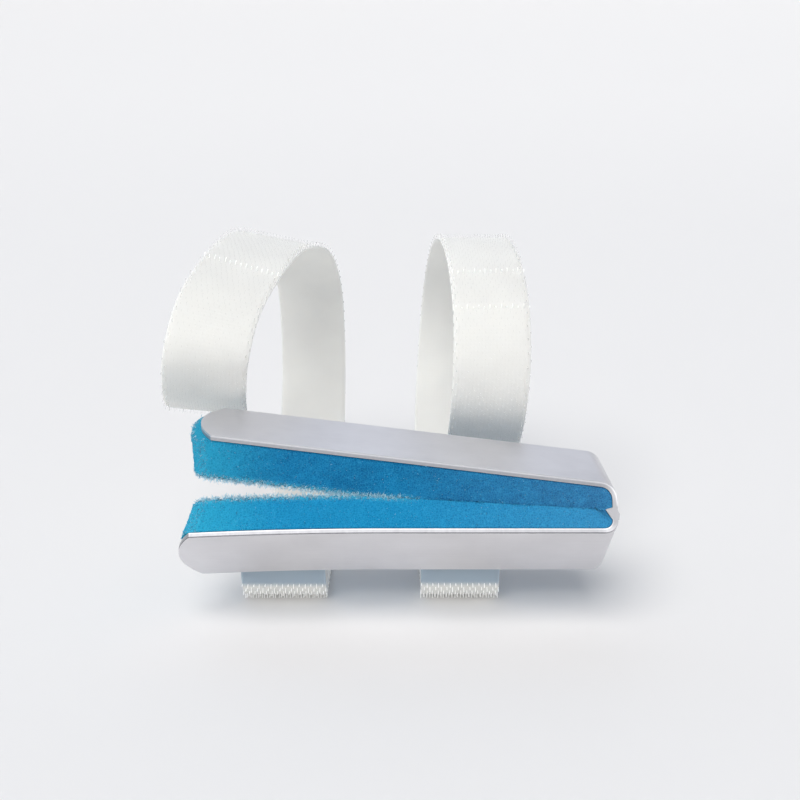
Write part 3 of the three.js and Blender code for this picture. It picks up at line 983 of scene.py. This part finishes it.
# %% Nylon weave
THREAD_PITCH = 0.4 * MM  # drawn coarser than the real threads
nylon = new_material("woven nylon tape")
uv = add(nylon, "ShaderNodeUVMap").outputs["UV"]
place = add(nylon, "ShaderNodeTexCoord").outputs["Object"]
weft, warp = (
    add(
        nylon,
        "ShaderNodeTexWave",
        [("Vector", uv)],
        bands_direction=bands,
        Scale=1 / (6.28 * THREAD_PITCH),
        Distortion=0.4,
    )
    for bands in ("X", "Y")
)
weave = add(
    nylon, "ShaderNodeMath", [(0, weft.outputs["Fac"]), (1, warp.outputs["Fac"])], operation="MULTIPLY"
)
clouds = add(nylon, "ShaderNodeTexNoise", [("Vector", place)], Scale=1 / (12 * MM), Detail=3)
white = add(nylon, "ShaderNodeValToRGB", [("Fac", clouds.outputs["Fac"])])
white.color_ramp.elements[0].position = 0.3
white.color_ramp.elements[0].color = linear("#c9c9c6")
white.color_ramp.elements[1].position = 0.7
white.color_ramp.elements[1].color = linear("#d0d0cc")
along_tape = add(nylon, "ShaderNodeSeparateXYZ", [("Vector", uv)])
# Painted reflection: blue-grey light from the foam, painted where the tape leaves it and, on the right strap,
# where its free end hangs close to the splint.
near_foam = add(
    nylon,
    "ShaderNodeMapRange",
    [("Value", along_tape.outputs["X"])],
    interpolation_type="SMOOTHSTEP",
    From_Min=0.0195,
    From_Max=0.0215,
    To_Min=1,
    To_Max=0,
)
near_splint = add(
    nylon,
    "ShaderNodeMapRange",
    [("Value", along_tape.outputs["X"])],
    interpolation_type="SMOOTHSTEP",
    From_Min=0.24,
    From_Max=0.253,
    To_Min=0,
    To_Max=0.4,
)
axes = add(nylon, "ShaderNodeSeparateXYZ", [("Vector", place)])
on_right = add(nylon, "ShaderNodeMath", [(0, axes.outputs["X"])], operation="GREATER_THAN")
on_right.inputs[1].default_value = 0
near_right = add(
    nylon, "ShaderNodeMath", [(0, near_splint.outputs[0]), (1, on_right.outputs[0])], operation="MULTIPLY"
)
blue_reflection_share = add(
    nylon, "ShaderNodeMath", [(0, near_foam.outputs[0]), (1, near_right.outputs[0])], operation="MAXIMUM"
)
blue_light = add(
    nylon,
    "ShaderNodeMixRGB",
    [("Fac", blue_reflection_share.outputs[0]), ("Color1", white.outputs[0])],
    Color2=linear("#8698a6"),
)
bump = add(nylon, "ShaderNodeBump", [("Height", weave.outputs[0])], Strength=0.12, Distance=0.00004)
nylon_shader = add(
    nylon,
    "ShaderNodeBsdfPrincipled",
    [("Base Color", blue_light.outputs[0]), ("Normal", bump.outputs[0])],
    Roughness=0.6,
    Specular_IOR_Level=0.35,
    Subsurface_Weight=1,
    Subsurface_Radius=(1.0, 0.95, 0.9),
    Subsurface_Scale=0.0016,
    Emission_Color=linear("#e4e6e6"),
    Emission_Strength=0.11,
)
add(nylon, "ShaderNodeOutputMaterial", [("Surface", nylon_shader.outputs[0])])

# %% Tape
TAPE_THICKNESS = 0.5 * MM
TAPE_INSIDE = 0.2 * MM  # from the middle of the CAD strap to the smooth side of the tape
for side, width in STRAP_WIDTH.items():
    path, along, across, out, at = strap_frame(side, 0.7 * MM)
    inside = path - out * TAPE_INSIDE
    columns = np.concatenate([[-0.5], np.linspace(-0.49, 0.49, 15), [0.5]])
    thinned = np.where(np.abs(columns) == 0.5, 0.3, 0)[None, :, None]  # the edges are rounded
    base = inside[:, None] + across[:, None] * (columns * strap_width(side, at)[:, None])[..., None]
    lift = out[:, None] * TAPE_THICKNESS
    points, faces = solid_between(base + lift * (1 - thinned), base + lift * thinned)
    tape = new_piece(f"strap_{side}_tape", points, faces, nylon)
    u, v = np.meshgrid(at, columns * width, indexing="ij")
    layout = np.tile(np.stack([u, v], -1).reshape(-1, 2), (2, 1))
    loops = np.empty(len(tape.data.loops), int)
    tape.data.loops.foreach_get("vertex_index", loops)
    tape.data.uv_layers.new(name="UVMap").data.foreach_set("uv", layout[loops].ravel())
    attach(tape, "root")
    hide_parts(f"strap_{side}")
    print(tape.name, len(faces), "faces")

# %% [markdown]
# ## Hooks
#
# The hook side is a field of bent nylon filaments, 0.12 mm thick and about 1 mm high, set 1.16 mm apart
# across the tape as the bright dashes in the photograph show. They are real geometry, because they make the
# toothed outline of the curl. The nylon is clear, so most hooks hardly show on the white tape. They carry a
# value for how white they look: those on the edges show a little. The first rows after the bare root and a
# few rows further on get a painted highlight: they are drawn opaque white and glow a little, like hooks that
# catch the light.

# %% Nylon hooks
hook_nylon = new_material("clear nylon hooks")
place = add(hook_nylon, "ShaderNodeTexCoord").outputs["Object"]
grain = add(hook_nylon, "ShaderNodeTexNoise", [("Vector", place)], Scale=1 / (3 * MM), Detail=2)
pale = add(hook_nylon, "ShaderNodeValToRGB", [("Fac", grain.outputs["Fac"])])
pale.color_ramp.elements[0].position = 0.3
pale.color_ramp.elements[0].color = linear("#f6f6f3")
pale.color_ramp.elements[1].position = 0.7
pale.color_ramp.elements[1].color = linear("#fdfdfb")
caught = add(hook_nylon, "ShaderNodeAttribute", attribute_name="caught_light")
clear = add(hook_nylon, "ShaderNodeMapRange", [("Value", caught.outputs["Fac"])], To_Min=0.03, To_Max=0.95)
# Painted highlight: hooks with a value over 0.5 glow a little white.
sparkle = add(
    hook_nylon,
    "ShaderNodeMapRange",
    [("Value", caught.outputs["Fac"])],
    From_Min=0.5,
    From_Max=1,
    To_Max=0.35,
)
hook_shader = add(
    hook_nylon,
    "ShaderNodeBsdfPrincipled",
    [("Base Color", pale.outputs[0]), ("Alpha", clear.outputs[0]), ("Emission Strength", sparkle.outputs[0])],
    Roughness=0.35,
    Specular_IOR_Level=0.5,
    Emission_Color=linear("#ffffff"),
)
add(hook_nylon, "ShaderNodeOutputMaterial", [("Surface", hook_shader.outputs[0])])

# %% Hook field
BARE_ROOT = 5 * MM  # the tape has no hooks where it leaves the foam
ROOT_GLINT_LENGTH = 30 * MM  # up to here the hooks get a painted highlight, opaque white with a weak glow; further on they are clear
GLINTS = {"left": [212.2 * MM], "right": [210.7 * MM, 220.9 * MM]}  # rows that catch the light
EDGE_HOOKS = 0.28  # how white the hooks on the edges look
HOOK_PITCH = 1.16 * MM
HOOK_ROWS = 1.35 * MM
HOOK_RADIUS = np.array([0.06, 0.06, 0.06, 0.06, 0.055, 0.04]) * MM
HOOK_SHAPE = np.array([(0, -0.1), (0, 0.42), (0.07, 0.68), (0.24, 0.86), (0.42, 0.8), (0.48, 0.58)]) * MM
for side, width in STRAP_WIDTH.items():
    path, along, across, out, at = strap_frame(side, HOOK_ROWS)
    free = at > STRAP_GRIP + BARE_ROOT
    path, along, across, out = (v[free] for v in (path, along, across, out))
    count = int((width - 0.6 * MM) / HOOK_PITCH) + 1
    columns = (np.arange(count) - (count - 1) / 2) * HOOK_PITCH
    turned = np.where(np.arange(count) % 2, 1, -1)[None, :] * np.ones((len(path), 1))
    staggered = (np.arange(len(path)) % 2 - 0.5)[:, None] * HOOK_PITCH / 2
    columns = columns[None] + staggered + random.uniform(-0.06, 0.06, turned.shape) * MM
    columns = columns * (strap_width(side, at)[free] / width)[:, None]
    root = path[:, None] + across[:, None] * columns[..., None]
    root = root + out[:, None] * (TAPE_THICKNESS - TAPE_INSIDE)
    root = root + along[:, None] * random.uniform(-0.08, 0.08, (*turned.shape, 1)) * MM
    forward = (along[:, None] * turned[..., None]).reshape(-1, 1, 3)
    upward = (out[:, None] + 0 * turned[..., None]).reshape(-1, 1, 3)
    paths = root.reshape(-1, 1, 3) + forward * HOOK_SHAPE[:, :1] + upward * HOOK_SHAPE[:, 1:]
    paths[..., 2] = np.maximum(paths[..., 2], 0.1 * MM)  # the table presses the lowest hooks flat
    aside = np.repeat(across, count, axis=0)
    points, faces = filaments(paths, aside, HOOK_RADIUS, 4)
    hooks = new_piece(f"strap_{side}_hooks", points, faces, hook_nylon)
    edge = np.isin(np.arange(count), (0, count - 1)) * EDGE_HOOKS
    bright_rows = at[free] < ROOT_GLINT_LENGTH
    for glint in GLINTS[side]:
        bright_rows[np.abs(at[free] - glint).argmin()] = True
    caught = np.maximum(edge[None, :], bright_rows[:, None]).ravel()
    caught = np.repeat(caught, len(points) // len(caught))
    hooks.data.attributes.new("caught_light", "FLOAT", "POINT").data.foreach_set("value", caught)
    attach(hooks, "root")
    print(hooks.name, len(paths), "hooks,", len(faces), "faces")
